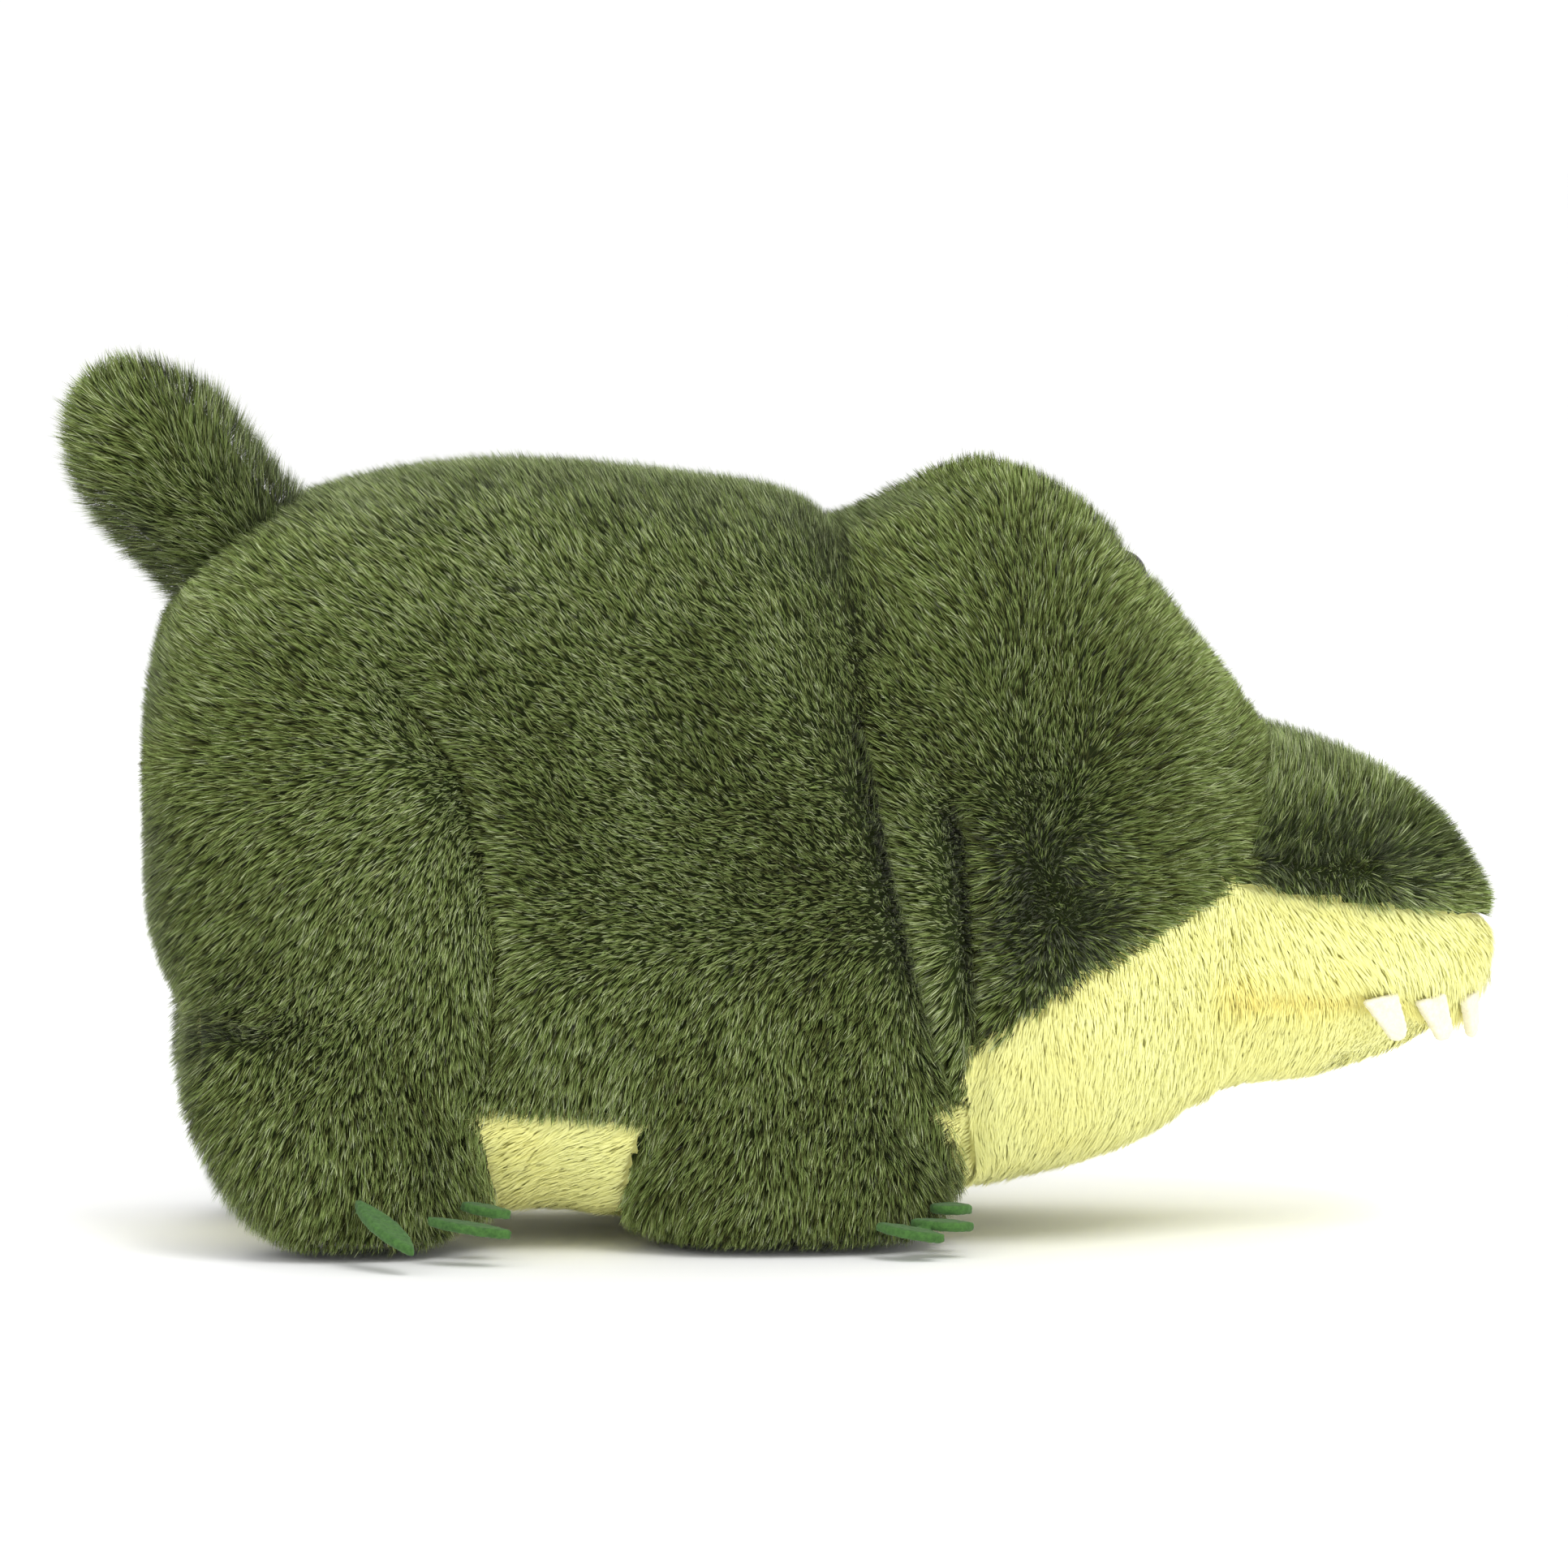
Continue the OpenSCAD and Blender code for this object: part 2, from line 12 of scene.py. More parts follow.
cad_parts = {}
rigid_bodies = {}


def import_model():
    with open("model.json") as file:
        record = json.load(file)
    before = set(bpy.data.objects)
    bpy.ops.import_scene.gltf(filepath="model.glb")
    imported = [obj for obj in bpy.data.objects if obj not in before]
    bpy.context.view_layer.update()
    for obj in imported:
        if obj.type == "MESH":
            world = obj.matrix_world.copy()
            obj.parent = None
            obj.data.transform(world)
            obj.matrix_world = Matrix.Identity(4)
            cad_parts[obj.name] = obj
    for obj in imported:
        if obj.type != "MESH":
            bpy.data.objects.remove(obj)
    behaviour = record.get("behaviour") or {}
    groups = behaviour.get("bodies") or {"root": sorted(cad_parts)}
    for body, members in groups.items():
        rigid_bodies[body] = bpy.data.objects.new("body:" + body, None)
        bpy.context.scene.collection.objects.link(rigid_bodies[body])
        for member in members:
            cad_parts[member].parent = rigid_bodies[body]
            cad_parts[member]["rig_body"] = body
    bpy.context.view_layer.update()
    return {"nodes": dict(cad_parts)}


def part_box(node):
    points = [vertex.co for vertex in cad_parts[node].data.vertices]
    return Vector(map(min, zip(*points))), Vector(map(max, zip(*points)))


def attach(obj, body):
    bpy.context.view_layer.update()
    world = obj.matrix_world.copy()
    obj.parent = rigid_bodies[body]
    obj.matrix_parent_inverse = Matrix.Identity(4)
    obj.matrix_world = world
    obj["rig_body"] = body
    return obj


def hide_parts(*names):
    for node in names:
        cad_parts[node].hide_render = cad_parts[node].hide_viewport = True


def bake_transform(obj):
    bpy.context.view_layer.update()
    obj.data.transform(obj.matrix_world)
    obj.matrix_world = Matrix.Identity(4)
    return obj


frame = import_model()
rng = np.random.default_rng(11)

MM = 0.001

# The toy's parts, by the names of their CAD nodes
SIDES = ("left", "right")
ENDS = ("hind", "front")
LEGS = [f"{end}_leg_{side}" for end in ENDS for side in SIDES]
SOLES = [f"{end}_sole_{side}" for end in ENDS for side in SIDES]
FLANKS = [f"body_side_{side}" for side in SIDES]
GUSSETS = [f"neck_gusset_{side}" for side in SIDES]
CHEEKS = [f"head_side_{side}" for side in SIDES]
SNOUT = ["snout_top", "upper_lip", "lower_jaw"]
BODY_SKINS = FLANKS + GUSSETS + ["belly_panel"] + LEGS + SOLES
TRUNK_SKINS = BODY_SKINS + CHEEKS + ["crown_gusset", "throat_panel"] + SNOUT
TAIL_SKINS = [f"tail_side_{side}" for side in SIDES]
YELLOW = ("belly_panel", "throat_panel", "upper_lip", "lower_jaw")
HEAD = ("head_side", "crown_gusset")
LEG_CORES = [f"{end}_leg_stuffing_{side}" for end in ENDS for side in SIDES]
TRUNK_CORES = ["body_stuffing", "head_stuffing", "snout_stuffing"] + LEG_CORES
TAIL_CORES = ["tail_stuffing"]
# Which pelt also stands for each block of stuffing; each leg's pelt stands for its own
CORE_OF = {
    "body_side_left": "body_stuffing",
    "crown_gusset": "head_stuffing",
    "snout_top": "snout_stuffing",
    "tail_side_left": "tail_stuffing",
}

# Forms: how far the solids grow to meet, and how deep the roots of the pile lie under the CAD skin
REACH = 5 * MM
ROOT_DEPTH = 2.6 * MM
TRUNK_VOXEL = 4 * MM
TAIL_VOXEL = 3 * MM
WELD = 0.02 * MM
# The cloth simulation that stuffs them, and how far it may move a point
PRESSURE = 4
SWELL_FRAMES = 20
SWELL_CAP = 3.5 * MM
# Thickness of the woven backing
BACKING = 1.2 * MM

# Places taken from the CAD frame
TAIL_ROOT = Vector((-0.1245, 0, 0.159))
TAIL_AXIS = Vector((-0.656, 0, 0.755)).normalized()
# Places and lines on the side of the toy, as (x, z)
CHEEK_WHORL = (0.057, 0.080)
LOW_CHEEK = (0.053, 0.068)
SNOUT_WHORL = (0.135, 0.088)
MOUTH = ((0.100, 0.058), (0.125, 0.057), (0.160, 0.053))

# Folds in the pelt
NAPE_FOLD = ((0.013, 0.172), (0.012, 0.145), (0.015, 0.119))
NECK_CREASE = ((0.015, 0.119), (0.0225, 0.085), (0.032, 0.047), (0.038, 0.030))
THROAT_CREASE = ((0.0375, 0.098), (0.0400, 0.077), (0.0415, 0.049), (0.0390, 0.014))
CHEEK_DART = ((0.056, 0.160), (0.057, 0.100))
THIGH_CREASE = ((-0.086, 0.125), (-0.075, 0.110), (-0.070, 0.090), (-0.067, 0.070), (-0.069, 0.045))
# How deep they are sunk: the line, its depth and its half-width
CREASES = (
    (NAPE_FOLD, 1.5 * MM, 9 * MM),
    (NECK_CREASE, 4 * MM, 4 * MM),
    (THROAT_CREASE, 4 * MM, 4 * MM),
    (CHEEK_DART, 2.5 * MM, 7 * MM),
    (THIGH_CREASE, 3 * MM, 6 * MM),
)
# Where the pile parts along a fold, with painted shade in it: the line, its half-width and how much darker
# the painted shade is
PARTINGS = (
    (NAPE_FOLD, 2.5 * MM, 0.06),
    (NECK_CREASE, 1.6 * MM, 0.35),
    (THROAT_CREASE, 1.8 * MM, 0.45),
    (THIGH_CREASE, 1.6 * MM, 0.35),
)
# How much shorter the pile is where it parts
PARTED = 0.35
# Every other seam: its depth and half-width
SEAM_DEPTH = 1.6 * MM
SEAM_HALF = 4 * MM
# Legs run into the flank above them with no fold: their join is smoothed over this distance
LEG_BLEND = 26 * MM
LEG_SMOOTHING = 110
# Not near the floor: none below the first height, all of it above the second
ABOVE_FEET = (8 * MM, 20 * MM)
# The belly fabric within this reach of a leg is covered by the pile of the leg
LEG_COVER = 2 * MM
# The belly hangs down between the legs: by how much, between which x, easing in over how far,
# and how low it may come
SAG = 4.5 * MM
BELLY_SPAN = (-0.082, -0.008)
SAG_EASE = 12 * MM
LOWEST = 2.5 * MM
# How far the stuffing pushes the pale panels out
PLUMP = {"upper_lip": 2 * MM, "lower_jaw": 2 * MM, "throat_panel": 1.2 * MM}
# Sag and plumpness hold up to the second distance from their panel and end at the first
PANEL_EDGE = (9 * MM, 4 * MM)
# Behind the teeth the jaw isn't pushed out and its pile is short: fully within the first distance,
# not at all beyond the second
TEETH_ROOM = (2 * MM, 9 * MM)

# Fur: length of the pile, strands to the square metre, width of a strand, strands to a tuft
PILE = {"green": 6.6 * MM, "yellow": 5.8 * MM}
DENSITY = 4.8 / MM / MM
STRAND = {"green": 0.23 * MM, "yellow": 0.36 * MM}
TUFT_OF = 3
# How high the strands stand from the backing, in radians, and how far each bends to either side of that
LEAN = {"green": 1.12, "yellow": 0.6}
BEND = 0.25
# Spread of a strand's heading and lean in radians, its own and its tuft's, and how far it may roll
TURN_SPREAD = (0.16, 0.16)
LEAN_SPREAD = (0.09, 0.09)
ROLL = 0.7
# Strands that stand higher than this turn more freely
UPRIGHT = 1.2
FREER = 5
# No strand goes lower than this
FLOOR = 0.3 * MM
# How far a strand's shading normal is the pelt's: the pile is lit as one soft surface
SOFTNESS = {"green": 0.35, "yellow": 0.97}
# Spread of the shades from strand to strand and from tuft to tuft
MOTTLE = {"green": (0.27, 0.05), "yellow": (0.03, 0.01)}
# Painted shade in the gaps between tufts: how much darker the strands at the rim of a tuft are
TUFT_RIM_PAINTED_SHADE = {"green": 0.2, "yellow": 0.0}
# How far a strand's tip closes in on its tuft, at most
CLUMPING = {"green": 0.5, "yellow": 0.15}
# Share of the spreads of heading, lean and roll above that each fur has
STRAYING = {"green": 1.0, "yellow": 0.45}
# A panel with more strands than this is cut into several pieces
MAX_STRANDS = 80000


# ------------------------------------------------------------------ small helpers
def unit(v):
    return v / np.maximum(np.linalg.norm(v, axis=1, keepdims=True), 1e-9)


def step(low, high, v):
    """0 up to low, 1 from high on, smooth between. With low above high it falls instead."""
    t = np.clip((v - low) / (high - low), 0, 1)
    return t * t * (3 - 2 * t)


def ripple(points, size, seed, waves=8):
    """Smooth noise of about -1 to 1 whose patches are about size across."""
    own = np.random.default_rng(seed)
    heading = unit(own.normal(size=(waves, 3))) * own.uniform(0.6, 1.4, (waves, 1))
    phase = own.uniform(0, 2 * np.pi, waves)
    return np.cos(points @ heading.T * (2 * np.pi / size) + phase).mean(1) * 1.7


def link(name, mesh):
    obj = bpy.data.objects.new(name, mesh)
    bpy.context.scene.collection.objects.link(obj)
    return obj


def smooth(obj, times, **rest):
    add_modifier(obj, "SMOOTH", factor=0.5, iterations=times, **rest)


def points_of(mesh, what="co"):
    out = np.zeros(len(mesh.vertices) * 3, np.float32)
    mesh.vertices.foreach_get(what, out)
    return out.reshape(-1, 3).astype(float)


def set_points(mesh, co):
    mesh.vertices.foreach_set("co", co.astype(np.float32).ravel())
    mesh.update()


def add_modifier(obj, kind, **settings):
    m = obj.modifiers.new(kind.title(), kind)
    for key, value in settings.items():
        setattr(m, key, value)
    return m


def applied(obj):
    """Replaces obj's mesh by the one that its modifiers make."""
    shaped = obj.evaluated_get(bpy.context.evaluated_depsgraph_get())
    mesh = bpy.data.meshes.new_from_object(shaped)
    obj.modifiers.clear()
    obj.data = mesh
    return obj


def welded(name, nodes):
    """One object of copies of CAD nodes, each solid with its corners welded."""
    bm = bmesh.new()
    for node in nodes:
        bm.from_mesh(frame["nodes"][node].data)
    bmesh.ops.remove_doubles(bm, verts=bm.verts, dist=WELD)
    bmesh.ops.recalc_face_normals(bm, faces=bm.faces)
    mesh = bpy.data.meshes.new(name)
    bm.to_mesh(mesh)
    bm.free()
    return link(name, mesh)


# ------------------------------------------------------------------ padded forms
def padded_form(name, nodes, voxel):
    """One smooth closed form: the solids grow until they meet, then shrink to the roots of the pile."""
    obj = welded(name, nodes)
    add_modifier(obj, "DISPLACE", strength=REACH, mid_level=0)
    add_modifier(obj, "REMESH", mode="VOXEL", voxel_size=voxel)
    smooth(obj, 2)
    add_modifier(obj, "DISPLACE", strength=-(REACH + ROOT_DEPTH), mid_level=0)
    smooth(obj, 3)
    return applied(obj)


class Skins:
    """Says which CAD skin lies nearest to a point."""

    def __init__(self, names):
        self.names = names
        corners, triangles, self.owner = [], [], []
        for index, name in enumerate(names):
            mesh = frame["nodes"][name].data
            start = len(corners)
            corners += [v.co.copy() for v in mesh.vertices]
            triangles += [[start + v for v in p.vertices] for p in mesh.polygons]
            self.owner += [index] * len(mesh.polygons)
        self.tree = BVHTree.FromPolygons(corners, triangles)

    def nearest(self, points):
        return np.array([self.owner[self.tree.find_nearest(Vector(p))[2]] for p in points])

    def distance(self, points):
        return np.array([self.tree.find_nearest(Vector(p))[3] for p in points])


def seam_points(mesh, owners):
    """Which vertices lie where faces of two owners meet."""
    low = np.full(len(mesh.vertices), 1000)
    high = np.full(len(mesh.vertices), -1)
    for face, owner in zip(mesh.polygons, owners):
        for v in face.vertices:
            low[v] = min(low[v], owner)
            high[v] = max(high[v], owner)
    return low != high


def distance_to(points, chosen):
    """Distance from each point to the nearest of the chosen ones."""
    tree = KDTree(int(chosen.sum()))
    for index in np.flatnonzero(chosen):
        tree.insert(points[index], int(index))
    tree.balance()
    return np.array([tree.find(p)[2] for p in points])


def flank_of(name):
    """The flank that a leg, sole, gusset or cheek runs into with no seam of its own, or the skin itself."""
    joined = LEGS + SOLES + GUSSETS + CHEEKS
    return f"body_side_{name.rsplit('_', 1)[1]}" if name in joined else name


def folds_of(mesh, skins):
    """Which vertices lie on a seam that shows as a fold. Those of the neck are in CREASES."""
    groups = [skins.names.index(flank_of(name)) for name in skins.names]
    owners = skins.nearest(face_centres(mesh))
    return seam_points(mesh, np.array(groups)[owners])


def join_legs(obj, skins):
    """Fills the fold between each leg and the flank above it: smoothed there, but only outwards."""
    owners = skins.nearest(face_centres(obj.data))
    is_leg = np.array([name in LEGS for name in skins.names])
    on_join = seam_points(obj.data, is_leg[owners].astype(int))
    co = points_of(obj.data)
    weight = step(LEG_BLEND, LEG_BLEND / 3, distance_to(co, on_join)) * step(*ABOVE_FEET, co[:, 2])
    group = obj.vertex_groups.new(name="leg_join")
    for index in np.flatnonzero(weight > 0.01):
        group.add([int(index)], float(weight[index]), "REPLACE")
    normal = points_of(obj.data, "normal")
    smooth(obj, LEG_SMOOTHING, vertex_group="leg_join")
    applied(obj)
    moved = points_of(obj.data) - co
    outwards = (moved * normal).sum(1, keepdims=True) > 0
    set_points(obj.data, co + moved * outwards)
    smooth(obj, 3)
    return applied(obj)


def face_centres(mesh):
    out = np.zeros(len(mesh.polygons) * 3, np.float32)
    mesh.polygons.foreach_get("center", out)
    return out.reshape(-1, 3).astype(float)


def grown_legs(skins, places):
    """The skin of each place, where the legs also take the belly beside them."""
    owners = skins.nearest(places)
    belly = skins.names.index("belly_panel") if "belly_panel" in skins.names else -1
    for leg in LEGS if belly >= 0 else []:
        close = (owners == belly) & (Skins([leg]).distance(places) < LEG_COVER + ROOT_DEPTH)
        owners[close] = skins.names.index(leg)
    return owners


def swell(obj, skins):
    """Stuffs the form: cloth under pressure, held at its seams, that moves SWELL_CAP at most."""
    start = points_of(obj.data)
    on_seam = folds_of(obj.data, skins)
    held = obj.vertex_groups.new(name="seams")
    held.add([int(i) for i in np.flatnonzero(on_seam)], 1.0, "REPLACE")
    cloth = add_modifier(obj, "CLOTH").settings
    cloth.vertex_group_mass = "seams"
    cloth.use_pressure = True
    cloth.uniform_pressure_force = PRESSURE
    cloth.effector_weights.gravity = 0
    cloth.quality = 4
    for moment in range(1, SWELL_FRAMES + 1):
        bpy.context.scene.frame_set(moment)
    applied(obj)
    bpy.context.scene.frame_set(1)
    moved = points_of(obj.data) - start
    far = np.linalg.norm(moved, axis=1, keepdims=True)
    set_points(obj.data, start + moved * np.minimum(1, SWELL_CAP / np.maximum(far, 1e-9)))
    return obj


def fill_out(obj):
    """Lets the belly hang between the legs and rounds the pale panels of the head."""
    co, normal = points_of(obj.data), points_of(obj.data, "normal")
    rear, front = BELLY_SPAN
    between = step(rear, rear + SAG_EASE, co[:, 0]) * step(front, front - SAG_EASE, co[:, 0])
    moved = co.copy()
    moved[:, 2] -= SAG * between * step(*PANEL_EDGE, Skins(["belly_panel"]).distance(co))
    for name, amount in PLUMP.items():
        near = step(*PANEL_EDGE, Skins([name]).distance(co))
        if name == "lower_jaw":
            near *= step(*TEETH_ROOM, reach_to_teeth(co))
        moved += normal * (amount * near)[:, None]
    moved[:, 2] = np.maximum(moved[:, 2], np.minimum(co[:, 2], LOWEST))
    set_points(obj.data, moved)


def refine(obj):
    add_modifier(obj, "SUBSURF", levels=1, render_levels=1)
    return applied(obj)


def distance_to_line(points, line):
    """Distance in the XZ plane from each point to a line of (x, z) stations."""
    flat = points[:, [0, 2]]
    best = np.full(len(points), 1.0)
    for a, b in zip(line, line[1:]):
        a, b = np.array(a), np.array(b)
        t = np.clip((flat - a) @ (b - a) / ((b - a) @ (b - a)), 0, 1)
        best = np.minimum(best, np.linalg.norm(flat - a - t[:, None] * (b - a), axis=1))
    return best


def beside(points, line, half):
    """1 on a line of (x, z) stations, falling off over about half on each side."""
    return np.exp(-((distance_to_line(points, line) / half) ** 2))


def around(points, place, wide, high):
    """1 at an (x, z) place, falling off over about wide in x and high in z."""
    return np.exp(-(((points[:, 0] - place[0]) / wide) ** 2) - ((points[:, 2] - place[1]) / high) ** 2)


# The creases of the pelt are on the sides and run out towards the top, which counts this much
SIDE_SPAN = (0.3, 0.7)
SIDE_TOP = 0.6


def carve(obj, skins):
    """Sinks the seams and the folds of the pelt into the form."""
    co, normal = points_of(obj.data), points_of(obj.data, "normal")
    to_seam = distance_to(co, folds_of(obj.data, skins))
    depth = SEAM_DEPTH * np.exp(-((to_seam / SEAM_HALF) ** 2))
    side = step(*SIDE_SPAN, np.abs(normal[:, 1]) + np.maximum(0, normal[:, 2]) * SIDE_TOP)
    for line, deep, half in CREASES:
        depth = np.maximum(depth, side * deep * beside(co, line, half))
    set_points(obj.data, co - normal * depth[:, None])
    return obj


# ------------------------------------------------------------------ how the fur lies
# The thigh begins between these x and turns its pile down higher up by this much
THIGH_START = (-0.06, -0.08)
THIGH_RISE = 0.035
# Heights between which the pile stops rising, and those between which it turns down the leg
RISE_ENDS = (0.06, 0.1)
TURNS_DOWN = (0.085, 0.035)
RISE, DROP, LESS_BACK = 0.6, 1.3, 0.55


def torso_flow(p):
    """Back and up on the flank, turning down over the legs, higher on the thigh."""
    height = p[:, 2] - THIGH_RISE * step(*THIGH_START, p[:, 0])
    down = step(*TURNS_DOWN, height)
    rise = RISE * step(*RISE_ENDS, height) - DROP * down
    return np.stack([-1 + LESS_BACK * down, 0 * p[:, 0], rise], 1)


# Half-width and half-height of the cheek's whorl, and how steeply the pile leaves it
CHEEK_FAN = (0.03, 0.04)
CHEEK_STEEP = 0.75


def head_flow(p):
    """Fans out from the whorl low on the cheek."""
    aside = np.clip((p[:, 0] - CHEEK_WHORL[0]) / CHEEK_FAN[0], -1, 1)
    rise = np.clip((p[:, 2] - CHEEK_WHORL[1]) / CHEEK_FAN[1], -1, 1)
    return np.stack([aside, 0 * aside, CHEEK_STEEP * rise], 1)


# The snout's whorl: how fast the pile turns ahead, the band of heights where it parts, its steepness
SNOUT_FAN = 0.022
SNOUT_BACK = -0.35
SNOUT_BAND = (-0.012, 0.008)
SNOUT_STEEP = 1.1
SNOUT_AHEAD = 0.25


def snout_flow(p):
    """Up above the whorl and down below it, and ahead towards the nose."""
    ahead = np.clip((p[:, 0] - SNOUT_WHORL[0]) / SNOUT_FAN, SNOUT_BACK, 1)
    above = step(SNOUT_WHORL[1] + SNOUT_BAND[0], SNOUT_WHORL[1] + SNOUT_BAND[1], p[:, 2])
    lift = (SNOUT_STEEP - np.maximum(0, ahead)) * (2 * above - 1)
    return np.stack([ahead + SNOUT_AHEAD, 0 * p[:, 0], lift], 1)


TAIL_FLARE = 0.55


def tail_flow(p):
    """Towards the tail's tip, flaring away from its axis."""
    from_root = p - np.array(TAIL_ROOT)
    axis = np.array(TAIL_AXIS)
    along = from_root @ axis
    return axis + TAIL_FLARE * unit(from_root - along[:, None] * axis)


def steady(*heading):
    return lambda p: np.tile(np.array(heading, float), (len(p), 1))


FLOWS = {
    "body_side": torso_flow,
    "neck_gusset": torso_flow,
    "belly_panel": steady(-1, 0, -0.35),
    "hind_leg": torso_flow,
    "front_leg": torso_flow,
    "hind_sole": steady(-1, 0, 0),
    "front_sole": steady(-1, 0, 0),
    "head_side": head_flow,
    "crown_gusset": head_flow,
    "throat_panel": steady(-0.1, 0, -1),
    "snout_top": snout_flow,
    "upper_lip": steady(0.35, 0, -1),
    "lower_jaw": steady(-0.2, 0, -1),
    "tail_side": tail_flow,
}
# Piles whose length isn't the usual one
LENGTHS = {
    "hind_leg": 7.6 * MM,
    "front_leg": 7.6 * MM,
    "hind_sole": 2.5 * MM,
    "front_sole": 2.5 * MM,
    "tail_side": 9.5 * MM,
    "snout_top": 8.5 * MM,
    "lower_jaw": 5.2 * MM,
}


WANDER = 0.3
WANDER_SIZE = 20 * MM


def wandering(kind, p):
    """The lie of the pile, which wanders a little from place to place."""
    aside = np.stack([ripple(p, WANDER_SIZE, 5), 0 * p[:, 0], ripple(p, WANDER_SIZE, 6)], 1)
    flow = FLOWS[kind](p)
    return flow / np.maximum(1, np.linalg.norm(flow, axis=1, keepdims=True)) + WANDER * aside


def kind_of(name):
    return name.removesuffix("_left").removesuffix("_right")


def fur_of(kind):
    return "yellow" if kind in YELLOW else "green"


def reach_to_teeth(p):
    """Distance from each point to the boxes round the two rows of teeth."""
    best = np.full(len(p), 1.0)
    for side in SIDES:
        low, high = (np.array(corner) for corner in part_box(f"teeth_{side}"))
        beyond = np.maximum(0, np.abs(p - (low + high) / 2) - (high - low) / 2)
        best = np.minimum(best, np.linalg.norm(beyond, axis=1))
    return best


def cut(least, span, where):
    """Factor of the pile's length: least below the span of where, and 1 above it."""
    return least + (1 - least) * step(*span, where)


# Where the pile is shorter: its least share, and the heights or distances over which it gets longer
FLOOR_CUT = (0.4, (1 * MM, 13 * MM))
EYE_CUT = (0.5, (5 * MM, 8.5 * MM))
TEETH_CUT = (0.45, TEETH_ROOM)
# The lip's pile hangs over the roots of the teeth: how much longer, over which x, how near the mouth
LIP_LONGER, LIP_LONGER_SPAN = 0.7, (0.125, 0.135)
LIP_LONGEST, LIP_LONGEST_SPAN = 0.5, (0.142, 0.152)
LIP_HANGS = (10 * MM, 3 * MM)
# The pile gets shorter on the nose: by how much, over which x
NOSE_LESS, NOSE_SPAN = 0.25, (0.145, 0.162)


def pile_length(kind, p):
    """Length of the pile at each point."""
    length = LENGTHS.get(kind, PILE[fur_of(kind)]) * cut(*FLOOR_CUT, p[:, 2])
    for side in SIDES:
        low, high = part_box(f"eye_{side}")
        eye = np.array((low + high) / 2)
        length *= cut(*EYE_CUT, np.linalg.norm(p - eye, axis=1))
    if kind != "throat_panel":
        for line, half, _ in PARTINGS:
            length *= 1 - PARTED * beside(p, line, half)
    if kind == "upper_lip":
        more = LIP_LONGER * step(*LIP_LONGER_SPAN, p[:, 0]) + LIP_LONGEST * step(*LIP_LONGEST_SPAN, p[:, 0])
        length *= 1 + more * step(*LIP_HANGS, distance_to_line(p, MOUTH))
    if kind == "snout_top":
        length *= 1 - NOSE_LESS * step(*NOSE_SPAN, p[:, 0])
    if kind == "lower_jaw":
        length *= cut(*TEETH_CUT, reach_to_teeth(p))
    return length


# How much more the pile stands up, in radians: on top, at the cheek's whorl and at the snout's
TOP_STANDS, TOP_SPAN = 0.08, (0.4, 0.9)
CHEEK_STANDS, CHEEK_STANDS_SIZE = 0.35, (0.016, 0.026)
SNOUT_STANDS, SNOUT_STANDS_HALF = 0.3, 0.012


def lean_of(kind, p, normals):
    """How far each strand stands up from the backing, in radians: more on top and at a whorl."""
    lean = LEAN[fur_of(kind)] + TOP_STANDS * step(*TOP_SPAN, normals[:, 2])
    if kind in HEAD:
        lean += CHEEK_STANDS * around(p, CHEEK_WHORL, *CHEEK_STANDS_SIZE)
    if kind == "snout_top":
        lean += SNOUT_STANDS * np.exp(-(((p[:, 2] - SNOUT_WHORL[1]) / SNOUT_STANDS_HALF) ** 2))
    return lean


# Shade of the pile, from 0 dark to 1 pale: usual, strengths and sizes of its patches, changes by panel
SHADE = 0.46
BROAD_PATCHES = (0.1, 38 * MM)
SMALL_PATCHES = (0.06, 11 * MM)
SHADE_OF = {
    "belly_panel": 0.06,
    "throat_panel": 0.06,
    "upper_lip": 0.06,
    "lower_jaw": 0.06,
    "body_side": 0.03,
    "neck_gusset": 0.23,
    "hind_leg": -0.07,
    "front_leg": -0.07,
    "head_side": -0.1,
    "crown_gusset": -0.1,
    "snout_top": 0.03,
}
# Painted shade along the mouth
MOUTH_PAINTED_SHADE = 0.35
MOUTH_HALF = 4 * MM
# On the body: painted light on the back between these heights, painted shade between these places on the
# low shoulder and towards the rump
BACK_PAINTED_LIGHT, BACK_SPAN = 0.1, (0.13, 0.17)
SHOULDER_PAINTED_SHADE, SHOULDER_X, SHOULDER_Z = 0.12, (-0.08, 0.02), (0.18, 0.12)
RUMP_PAINTED_SHADE, RUMP_SPAN = 0.1, (-0.09, -0.13)
# On the head: painted light above these heights on brow and snout, and a little paler on the low cheek
BROW_PAINTED_LIGHT, BROW_SPAN = 0.06, (0.125, 0.165)
CHEEK_PALE, CHEEK_WIDE, CHEEK_HIGH = 0.07, 0.02, 0.03
SNOUT_PAINTED_LIGHT, SNOUT_SPAN = 0.15, (0.088, 0.105)


